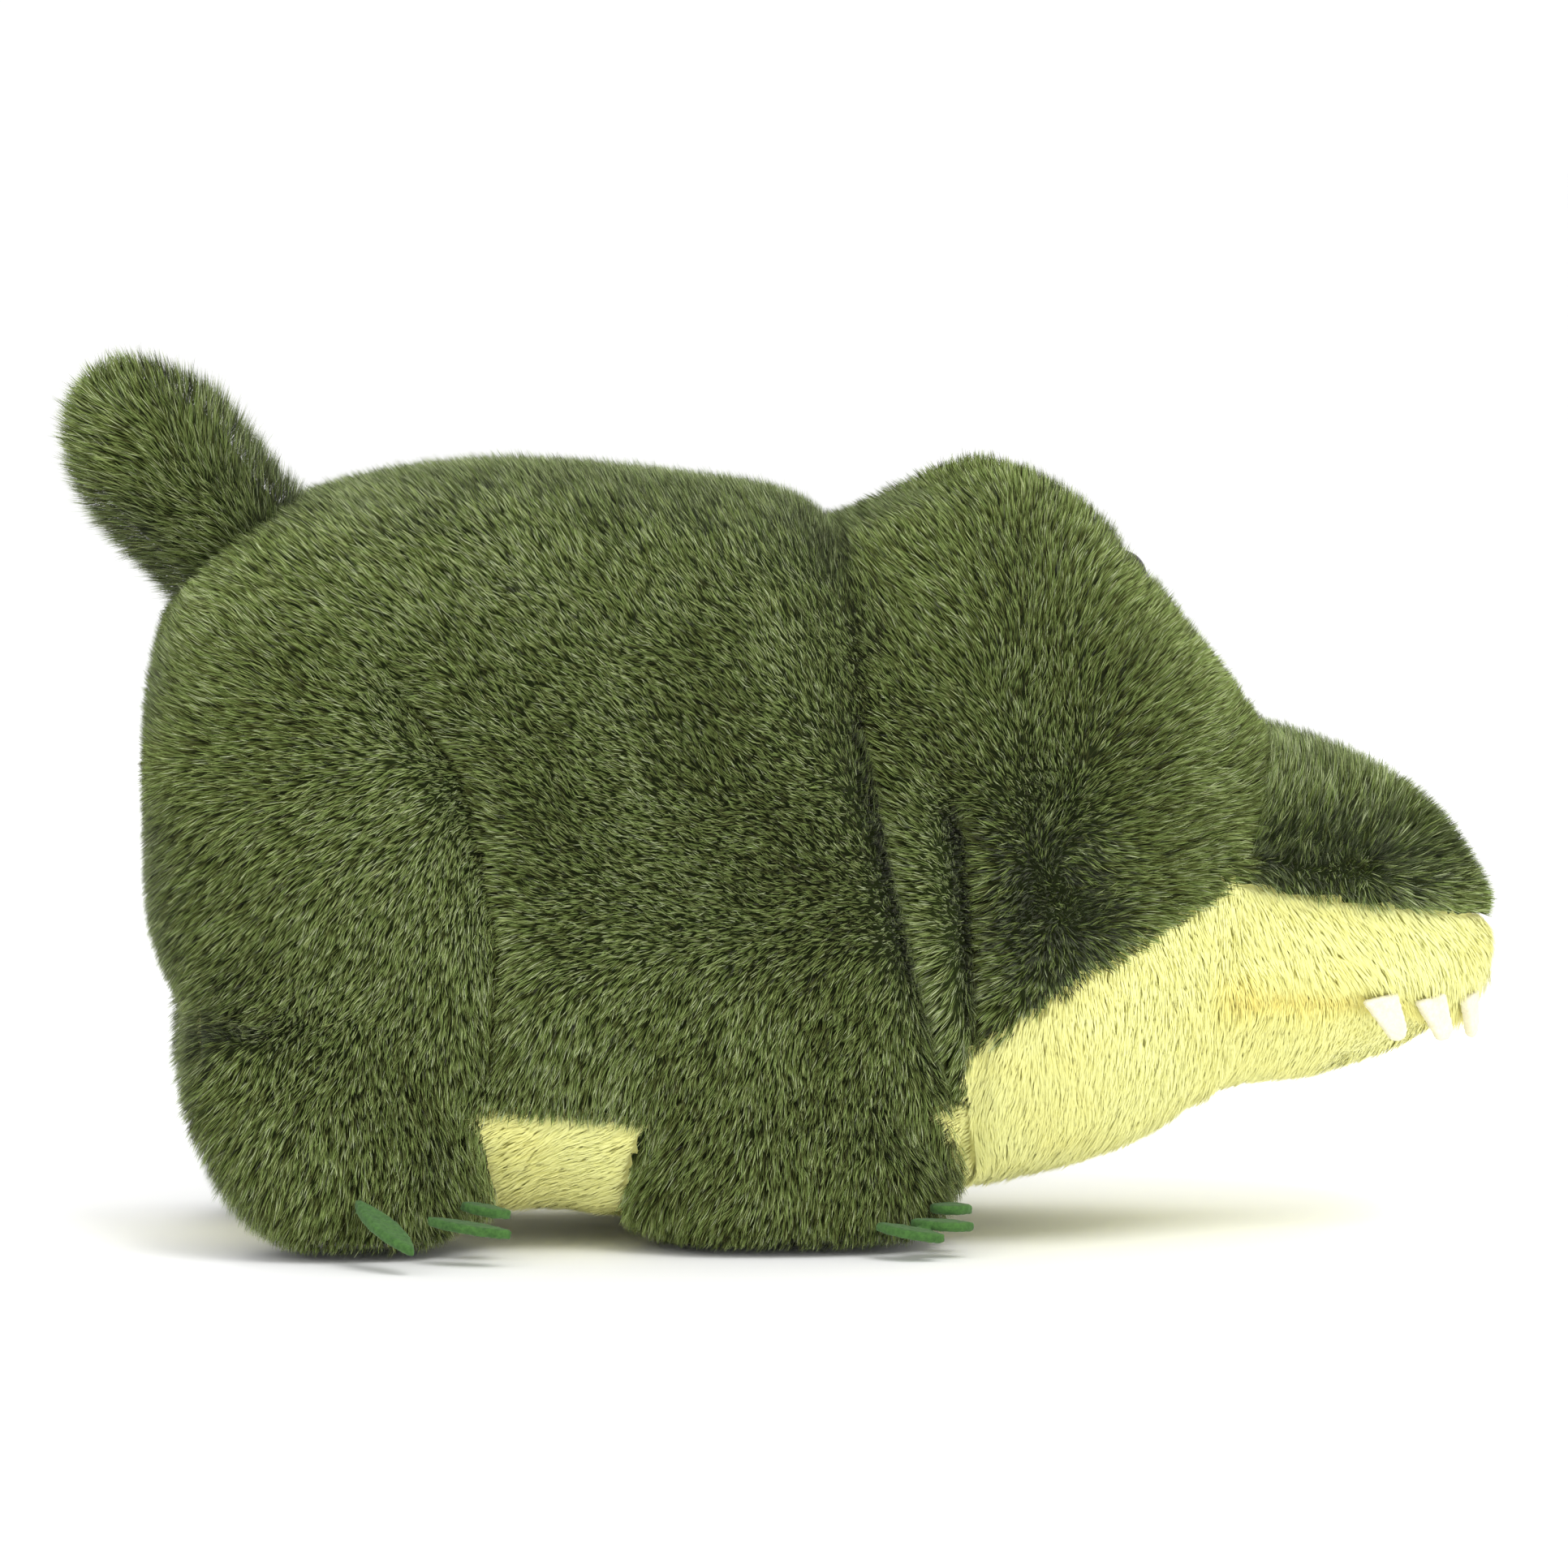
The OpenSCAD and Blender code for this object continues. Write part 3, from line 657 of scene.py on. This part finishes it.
def tone(kind, p):
    """Shade of each strand, 0 dark to 1 pale, from where it grows, with painted light on the tops of back,
    brow and snout and painted shade in the folds, along the mouth, on the low shoulder and at the rump.
    """
    x, z = p[:, 0], p[:, 2]
    value = SHADE + SHADE_OF.get(kind, 0)
    for seed, (strength, size) in ((3, BROAD_PATCHES), (4, SMALL_PATCHES)):
        value = value + strength * ripple(p, size, seed)
    if kind in YELLOW:
        # Painted shade along the mouth
        value -= MOUTH_PAINTED_SHADE * beside(p, MOUTH, MOUTH_HALF)
    else:
        # Painted shade in the folds where the pile parts
        for line, half, darker in PARTINGS:
            value -= darker * beside(p, line, half)
    if kind in ("body_side", "neck_gusset"):
        # Painted light on the back; painted shade towards the rump and on the low shoulder
        value += BACK_PAINTED_LIGHT * step(*BACK_SPAN, z) - RUMP_PAINTED_SHADE * step(*RUMP_SPAN, x)
        value -= SHOULDER_PAINTED_SHADE * step(*SHOULDER_X, x) * step(*SHOULDER_Z, z)
    if kind in HEAD:
        # Painted light on the top of the brow
        value += BROW_PAINTED_LIGHT * step(*BROW_SPAN, z) + CHEEK_PALE * around(p, LOW_CHEEK, CHEEK_WIDE, CHEEK_HIGH)
    if kind == "snout_top":
        # Painted light on the top of the snout
        value += SNOUT_PAINTED_LIGHT * step(*SNOUT_SPAN, z)
    return value


# ------------------------------------------------------------------ fur
def scatter(mesh, density):
    """Random roots all over a form: their places and the form's smooth normals there."""
    mesh.calc_loop_triangles()
    corners = np.zeros(len(mesh.loop_triangles) * 3, np.int32)
    mesh.loop_triangles.foreach_get("vertices", corners)
    corners = corners.reshape(-1, 3)
    co, normal = points_of(mesh), points_of(mesh, "normal")
    a, b, c = (co[corners[:, k]] for k in range(3))
    area = np.linalg.norm(np.cross(b - a, c - a), axis=1) / 2
    total = int(area.sum() * density)
    pick = rng.choice(len(corners), total, p=area / area.sum())
    r, s = rng.random((2, total))
    flip = r + s > 1
    r[flip], s[flip] = 1 - r[flip], 1 - s[flip]
    weights = np.stack([1 - r - s, r, s], 1)[:, :, None]
    return (co[corners[pick]] * weights).sum(1), unit((normal[corners[pick]] * weights).sum(1))


def tufts(roots):
    """For each strand, the one at the middle of its tuft."""
    seeds = rng.choice(len(roots), max(1, len(roots) // TUFT_OF), replace=False)
    tree = KDTree(len(seeds))
    for index in seeds:
        tree.insert(roots[index], int(index))
    tree.balance()
    return np.array([tree.find(p)[1] for p in roots])


def varied(own, of_strand, of_tuft):
    """Random amounts, partly each strand's and partly shared by its tuft."""
    return rng.normal(0, of_strand, len(own)) + rng.normal(0, of_tuft, len(own))[own]


# Random lengths, as shares: of each strand, and shared by its tuft
STRAND_LENGTHS = (0.8, 1.1)
TUFT_LENGTHS = (0.8, 1.05)
# A strand's least hold on its tuft, and the share of it that its middle feels
LEAST_HOLD = 0.3
MIDDLE_HOLD = 0.45
# Share of a tuft's radius at which a strand keeps its shade: inside it is paler, outside darker, with
# painted light at the middle of a tuft and painted shade at its rim
RIM_EVEN = 0.6


def strand_points(roots, normals, flow, length, lean, own, fur):
    """Corners of the strands, each a fine bent kite that closes in on the middle of its tuft."""
    n = len(roots)
    along = unit(flow - (flow * normals).sum(1, keepdims=True) * normals)
    across = np.cross(normals, along)
    stray = STRAYING[fur]
    freedom = 1 + FREER * np.maximum(0, lean - UPRIGHT)
    turn = stray * (varied(own, *TURN_SPREAD) * freedom)[:, None]
    heading = unit(along * np.cos(turn) + across * np.sin(turn))
    low = (lean + stray * varied(own, *LEAN_SPREAD))[:, None]
    length = (length * rng.uniform(*STRAND_LENGTHS, n) * rng.uniform(*TUFT_LENGTHS, n)[own])[:, None]
    first = heading * np.cos(low + BEND) + normals * np.sin(low + BEND)
    second = heading * np.cos(low - BEND) + normals * np.sin(low - BEND)
    mids = roots + first * length * 0.5
    tips = mids + second * length * 0.5
    hold = CLUMPING[fur] * rng.uniform(LEAST_HOLD, 1, n)[:, None]
    mids += (mids[own] - mids) * hold * MIDDLE_HOLD
    tips += (tips[own] - tips) * hold
    roll = stray * rng.uniform(-ROLL, ROLL, n)[:, None]
    flat = unit(np.cross(normals, heading) * np.cos(roll) + normals * np.sin(roll)) * STRAND[fur] / 2
    faces_in = (np.cross(mids + flat - roots, mids - flat - roots) * normals).sum(1, keepdims=True) < 0
    flat = np.where(faces_in, -flat, flat)
    corners = np.stack([mids - flat, roots, mids + flat, tips], 1)
    corners[:, :, 2] = np.maximum(corners[:, :, 2], FLOOR)
    return corners


# A strand's four corners in the colour table: shade across, root to tip along, with painted shade at the
# root. CELL keeps them apart
CELL = 0.006
TABLE_U = np.array([-1, 0, 1, 0]) * CELL
TABLE_V = np.array([0.5, 0.03, 0.5, 0.97])
# The backing takes the root row of the table, with its painted shade
BACKING_V = 0.02
SHADE_RANGE = (0.03, 0.97)


def strand_faces(corners, normals, shades, softness):
    """(points, face loops, loops of each face, table coordinates, shading normals) of the strands."""
    n = len(corners)
    table = np.stack([shades[:, None] + TABLE_U, np.tile(TABLE_V, (n, 1))], 2).reshape(-1, 2)
    own = unit(np.cross(corners[:, 2] - corners[:, 1], corners[:, 0] - corners[:, 1]))
    soft = np.repeat(unit(own * (1 - softness) + normals * softness), 4, axis=0)
    return corners.reshape(-1, 3), np.arange(4 * n), np.full(n, 4), table, soft


def backing_faces(mesh, chosen, kind):
    """The woven backing under the pile: a thin closed shell of the chosen faces."""
    loops = np.zeros(len(mesh.loops), np.int64)
    mesh.loops.foreach_get("vertex_index", loops)
    quads = loops.reshape(-1, 4)[chosen]
    used, quads = np.unique(quads, return_inverse=True)
    quads = quads.reshape(-1, 4)
    outer, normals = points_of(mesh)[used], points_of(mesh, "normal")[used]
    inner = outer - normals * BACKING
    edges = np.concatenate([quads[:, [k, (k + 1) % 4]] for k in range(4)])
    key = edges[:, 0] * len(used) + edges[:, 1]
    back = edges[:, 1] * len(used) + edges[:, 0]
    rim = edges[~np.isin(key, back)]
    sides = np.stack([rim[:, 1], rim[:, 0], rim[:, 0] + len(used), rim[:, 1] + len(used)], 1)
    faces = np.concatenate([quads, quads[:, ::-1] + len(used), sides])
    points = np.concatenate([outer, inner])
    corner = np.tile([[0, 0], [CELL, 0], [CELL, CELL], [0, CELL]], (len(faces), 1))
    shades = np.clip(tone(kind, points), *SHADE_RANGE)[faces.ravel()]
    # The backing's colour is the dark root row: painted shade deep in the pile
    table = corner + np.stack([shades, np.full(len(shades), BACKING_V)], 1)
    return points, faces.ravel(), np.full(len(faces), 4), table, np.concatenate([normals, -normals])


def mesh_from(name, parts):
    """One mesh from several (points, loops, sizes, table coordinates, shading normals)."""
    shift = np.cumsum([0] + [len(p[0]) for p in parts])
    points = np.concatenate([p[0] for p in parts])
    loops = np.concatenate([p[1] + s for p, s in zip(parts, shift)])
    sizes = np.concatenate([p[2] for p in parts])
    table = np.concatenate([p[3] for p in parts])
    mesh = bpy.data.meshes.new(name)
    mesh.vertices.add(len(points))
    mesh.vertices.foreach_set("co", points.astype(np.float32).ravel())
    mesh.loops.add(len(loops))
    mesh.loops.foreach_set("vertex_index", loops.astype(np.int32))
    mesh.polygons.add(len(sizes))
    mesh.polygons.foreach_set("loop_start", np.concatenate([[0], np.cumsum(sizes)[:-1]]).astype(np.int32))
    mesh.polygons.foreach_set("use_smooth", np.ones(len(sizes), bool))
    layer = mesh.uv_layers.new(name="OFBake")
    layer.data.foreach_set("uv", table.astype(np.float32).ravel())
    mesh.update(calc_edges=True)
    mesh.validate()
    mesh.normals_split_custom_set_from_vertices(np.concatenate([p[4] for p in parts]))
    return mesh


def pelt(mesh, chosen, roots, normals, kind, name, material):
    """One panel of fur: its backing on the chosen faces and its pile on the roots."""
    length, lean = pile_length(kind, roots), lean_of(kind, roots, normals)
    own = tufts(roots)
    fur = fur_of(kind)
    corners = strand_points(roots, normals, wandering(kind, roots), length, lean, own, fur)
    rim = np.linalg.norm(roots - roots[own], axis=1) / math.sqrt(TUFT_OF / DENSITY / math.pi)
    # Painted shade at the rims of the tufts, painted light at their middles
    shades = tone(kind, roots) + varied(own, *MOTTLE[fur]) - TUFT_RIM_PAINTED_SHADE[fur] * (rim - RIM_EVEN)
    strands = strand_faces(corners, normals, np.clip(shades, *SHADE_RANGE), SOFTNESS[fur])
    obj = link(f"pelt_{name}", mesh_from(name, [backing_faces(mesh, chosen, kind), strands]))
    obj.data.materials.append(material)
    return obj


def shares(along):
    """Ends in x of the pieces that a panel is cut into, so that each has MAX_STRANDS strands at most."""
    ends = np.quantile(along, np.linspace(0, 1, math.ceil(len(along) / MAX_STRANDS) + 1))
    ends[0], ends[-1] = -1, 1
    return list(zip(ends, ends[1:]))


# ------------------------------------------------------------------ materials
def new_material(name, **sockets):
    material = bpy.data.materials.new(name)
    material.use_nodes = True
    shader = material.node_tree.nodes["Principled BSDF"]
    for key, value in sockets.items():
        shader.inputs[key.replace("_", " ")].default_value = value
    return material, material.node_tree, shader


def ramp(tree, stops, source):
    node = tree.nodes.new("ShaderNodeValToRGB")
    elements = node.color_ramp.elements
    while len(elements) < len(stops):
        elements.new(0.5)
    for element, (position, colour) in zip(elements, stops):
        element.position = position
        element.color = (*colour, 1)
    tree.links.new(source, node.inputs["Fac"])
    return node.outputs["Color"]


def multiply(tree, a, b):
    node = tree.nodes.new("ShaderNodeMix")
    node.data_type = "RGBA"
    node.blend_type = "MULTIPLY"
    node.inputs["Factor"].default_value = 1
    tree.links.new(a, node.inputs["A"])
    tree.links.new(b, node.inputs["B"])
    return node.outputs["Result"]


def fur_material(name, shades, painted_root_shade, **sockets):
    """Fur whose colour comes from the strand's shade across the table and root to tip along it, where
    painted shade darkens the roots deep in the pile.
    """
    material, tree, shader = new_material(name, **sockets)
    table = tree.nodes.new("ShaderNodeUVMap")
    table.uv_map = "OFBake"
    split = tree.nodes.new("ShaderNodeSeparateXYZ")
    tree.links.new(table.outputs["UV"], split.inputs["Vector"])
    shade = ramp(tree, shades, split.outputs["X"])
    # Painted shade from root to tip
    depth = ramp(tree, painted_root_shade, split.outputs["Y"])
    tree.links.new(multiply(tree, shade, depth), shader.inputs["Base Color"])
    return material


def srgb(r, g, b):
    """Linear colour from screen values of 0 to 255."""
    parts = (r / 255, g / 255, b / 255)
    return tuple(c / 12.92 if c < 0.04045 else ((c + 0.055) / 1.055) ** 2.4 for c in parts)


def green_fur():
    shades = [
        (0.0, srgb(72, 72, 34)),
        (0.3, srgb(116, 130, 64)),
        (0.55, srgb(148, 172, 96)),
        (0.8, srgb(184, 196, 128)),
        (1.0, srgb(222, 234, 188)),
    ]
    # Painted shade deep in the pile: dark at the root, full colour at the tip
    painted_root_shade = [
        (0.0, (0.08, 0.09, 0.05)),
        (0.5, (0.36, 0.37, 0.3)),
        (0.8, (0.85, 0.85, 0.84)),
        (1.0, (1.0, 1.0, 1.0)),
    ]
    finish = {"Roughness": 0.6, "Specular_IOR_Level": 0.12, "Sheen_Weight": 0.08}
    return fur_material("green_fur", shades, painted_root_shade, **finish)


def yellow_fur():
    shades = [
        # Darkest, warmest stop, which the painted shade along the mouth reaches
        (0.0, srgb(238, 222, 120)),
        (0.35, srgb(247, 243, 156)),
        (0.6, srgb(249, 249, 170)),
        (1.0, srgb(252, 252, 188)),
    ]
    # A little painted shade at the root
    painted_root_shade = [
        (0.0, (1.0, 0.98, 0.85)),
        (0.5, (1.0, 1.0, 0.97)),
        (1.0, (1.0, 1.0, 1.0)),
    ]
    finish = {"Roughness": 0.7, "Specular_IOR_Level": 0.3, "Sheen_Weight": 0.1}
    return fur_material("yellow_fur", shades, painted_root_shade, **finish)


# ------------------------------------------------------------------ pelts
def finish_pelt(obj, name):
    """Parents a leg or sole pelt to the body and a snout pelt to the head, fixes the others where they are,
    and hides the CAD nodes that the pelt stands for.
    """
    nodes = [name] + ([CORE_OF[name]] if name in CORE_OF else [])
    if name in LEGS:
        nodes.append(name.replace("_leg_", "_leg_stuffing_"))
    if name in TAIL_SKINS:
        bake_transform(obj)
    elif name in LEGS + SOLES:
        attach(obj, "body")
    elif name in SNOUT:
        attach(obj, "head")
    else:
        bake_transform(obj)
    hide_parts(*nodes)


def make_pelts(form_name, skin_names, core_names, voxel, materials):
    """Builds one padded form, stuffs it and covers it with the pelts of its skins."""
    skins = Skins(skin_names)
    form = padded_form(form_name, skin_names + core_names, voxel)
    if form_name == "trunk":
        join_legs(form, skins)
    swell(form, skins)
    refine(form)
    if form_name == "trunk":
        fill_out(form)
    carve(form, skins)
    places = face_centres(form.data)
    roots, normals = scatter(form.data, DENSITY)
    face_skin, root_skin = grown_legs(skins, places), grown_legs(skins, roots)
    for index, name in enumerate(skin_names):
        for part, (low, high) in enumerate(shares(roots[root_skin == index, 0])):
            faces = (face_skin == index) & (places[:, 0] >= low) & (places[:, 0] < high)
            mine = (root_skin == index) & (roots[:, 0] >= low) & (roots[:, 0] < high)
            label, material = f"{name}_{part + 1}", materials[fur_of(name)]
            obj = pelt(form.data, faces, roots[mine], normals[mine], kind_of(name), label, material)
            finish_pelt(obj, name)
    bpy.data.objects.remove(form)


# ------------------------------------------------------------------ felt, eyes
# Cells of the mottling to the metre
FELT_GRAIN = 900
PLASTIC_GRAIN = 300
BUMP_STRENGTH = 0.5
BUMP_DEPTH = 0.15 * MM


def mottled(tree, shader, pale, dark, scale):
    """Fibre-like mottling of the colour and a fine bump, from the piece's own coordinates."""
    place = tree.nodes.new("ShaderNodeTexCoord")
    noise = tree.nodes.new("ShaderNodeTexNoise")
    noise.inputs["Scale"].default_value = scale
    noise.inputs["Detail"].default_value = 6
    noise.inputs["Roughness"].default_value = 0.7
    tree.links.new(place.outputs["Object"], noise.inputs["Vector"])
    colour = ramp(tree, [(0.3, dark), (0.7, pale)], noise.outputs["Fac"])
    tree.links.new(colour, shader.inputs["Base Color"])
    bump = tree.nodes.new("ShaderNodeBump")
    bump.inputs["Strength"].default_value = BUMP_STRENGTH
    bump.inputs["Distance"].default_value = BUMP_DEPTH
    tree.links.new(noise.outputs["Fac"], bump.inputs["Height"])
    tree.links.new(bump.outputs["Normal"], shader.inputs["Normal"])


def felt_material(name, pale, dark):
    material, tree, shader = new_material(name, Roughness=0.95, Sheen_Weight=0.1, Sheen_Roughness=0.6)
    mottled(tree, shader, pale, dark, FELT_GRAIN)
    return material


def plastic_material(name, pale, dark):
    material, tree, shader = new_material(name, Roughness=0.12, Specular_IOR_Level=0.12, Coat_Weight=0.05)
    mottled(tree, shader, pale, dark, PLASTIC_GRAIN)
    return material


# Felt: size of its mesh, what it gains back after smoothing, and its lumps' height and size
FELT_VOXEL = 0.45 * MM
FELT_GAIN = 0.2 * MM
FELT_LUMPS = (0.1 * MM, 1.5 * MM)


def felt_piece(node, material):
    """Soft-edged felt in place of the CAD node's flat tabs."""
    obj = welded(f"felt_{node}", [node])
    add_modifier(obj, "REMESH", mode="VOXEL", voxel_size=FELT_VOXEL)
    smooth(obj, 4)
    applied(obj)
    co, normal = points_of(obj.data), points_of(obj.data, "normal")
    height, size = FELT_LUMPS
    set_points(obj.data, co + normal * (FELT_GAIN + height * ripple(co, size, 9))[:, None])
    obj.data.polygons.foreach_set("use_smooth", np.ones(len(obj.data.polygons), bool))
    obj.data.materials.append(material)
    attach(obj, frame["nodes"][node]["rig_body"])
    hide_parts(node)


def dress(node, material):
    """Gives a CAD node that stays visible its material."""
    data = frame["nodes"][node].data
    data.materials.clear()
    data.materials.append(material)


# ------------------------------------------------------------------ camera, light and floor
CAMERA_AZIMUTH = math.radians(-5.5)
CAMERA_RISE = math.radians(4.5)
CAMERA_AWAY = 1.9
CAMERA_AIM = Vector((0.002, 0, 0.1027))
LENS = 188.7
FLOOR_RADIUS = 60
FLOOR_COLOUR = (0.97, 0.97, 0.965, 1)
SKY = 1.05
# Lights: name, place, power in watts and size
LIGHTS = (
    ("key", (0.5, -1.0, 1.6), 16, 0.9),
    ("fill", (-1.2, -1.2, 0.7), 1, 1.2),
    ("low", (0.8, -1.3, 0.25), 4, 0.8),
    ("rear", (-0.3, 1.2, 1.3), 8, 1.0),
)


def add_camera():
    ahead = Vector((
        -math.sin(CAMERA_AZIMUTH) * math.cos(CAMERA_RISE),
        math.cos(CAMERA_AZIMUTH) * math.cos(CAMERA_RISE),
        -math.sin(CAMERA_RISE),
    ))
    data = bpy.data.cameras.new("camera")
    data.lens = LENS
    camera = bpy.data.objects.new("camera", data)
    camera.location = CAMERA_AIM - ahead * CAMERA_AWAY
    camera.rotation_euler = ahead.to_track_quat("-Z", "Y").to_euler()
    bpy.context.scene.collection.objects.link(camera)
    bpy.context.scene.camera = camera


def add_light(name, place, power, size):
    data = bpy.data.lights.new(name, "AREA")
    data.energy = power
    data.size = size
    light = bpy.data.objects.new(name, data)
    light.location = place
    light.rotation_euler = (CAMERA_AIM - light.location).to_track_quat("-Z", "Y").to_euler()
    bpy.context.scene.collection.objects.link(light)


def add_stage():
    bm = bmesh.new()
    bmesh.ops.create_circle(bm, cap_ends=True, radius=FLOOR_RADIUS, segments=96)
    mesh = bpy.data.meshes.new("floor")
    bm.to_mesh(mesh)
    bm.free()
    floor = link("floor", mesh)
    material, _, _ = new_material("floor", Roughness=0.8, Base_Color=FLOOR_COLOUR)
    mesh.materials.append(material)
    world = bpy.data.worlds.new("studio")
    world.use_nodes = True
    world.node_tree.nodes["Background"].inputs["Color"].default_value = (1, 1, 1, 1)
    world.node_tree.nodes["Background"].inputs["Strength"].default_value = SKY
    bpy.context.scene.world = world
    for name, place, power, size in LIGHTS:
        add_light(name, Vector(place), power, size)
    bpy.context.scene.view_settings.view_transform = "Standard"


# ------------------------------------------------------------------ the toy
add_camera()
add_stage()
furs = {"green": green_fur(), "yellow": yellow_fur()}
make_pelts("trunk", TRUNK_SKINS, TRUNK_CORES, TRUNK_VOXEL, furs)
make_pelts("tail", TAIL_SKINS, TAIL_CORES, TAIL_VOXEL, furs)

claw_felt = felt_material("claw_felt", srgb(72, 116, 46), srgb(38, 76, 22))
tooth_felt = felt_material("tooth_felt", srgb(244, 240, 214), srgb(226, 218, 184))
for side in SIDES:
    for end in ENDS:
        felt_piece(f"{end}_claws_{side}", claw_felt)
    felt_piece(f"teeth_{side}", tooth_felt)
eye_plastic = plastic_material("eye_plastic", srgb(30, 26, 22), srgb(10, 9, 8))
washer_plastic = plastic_material("washer_plastic", srgb(244, 244, 240), srgb(226, 226, 220))
for side in SIDES:
    dress(f"eye_{side}", eye_plastic)
    dress(f"eye_washer_{side}", washer_plastic)
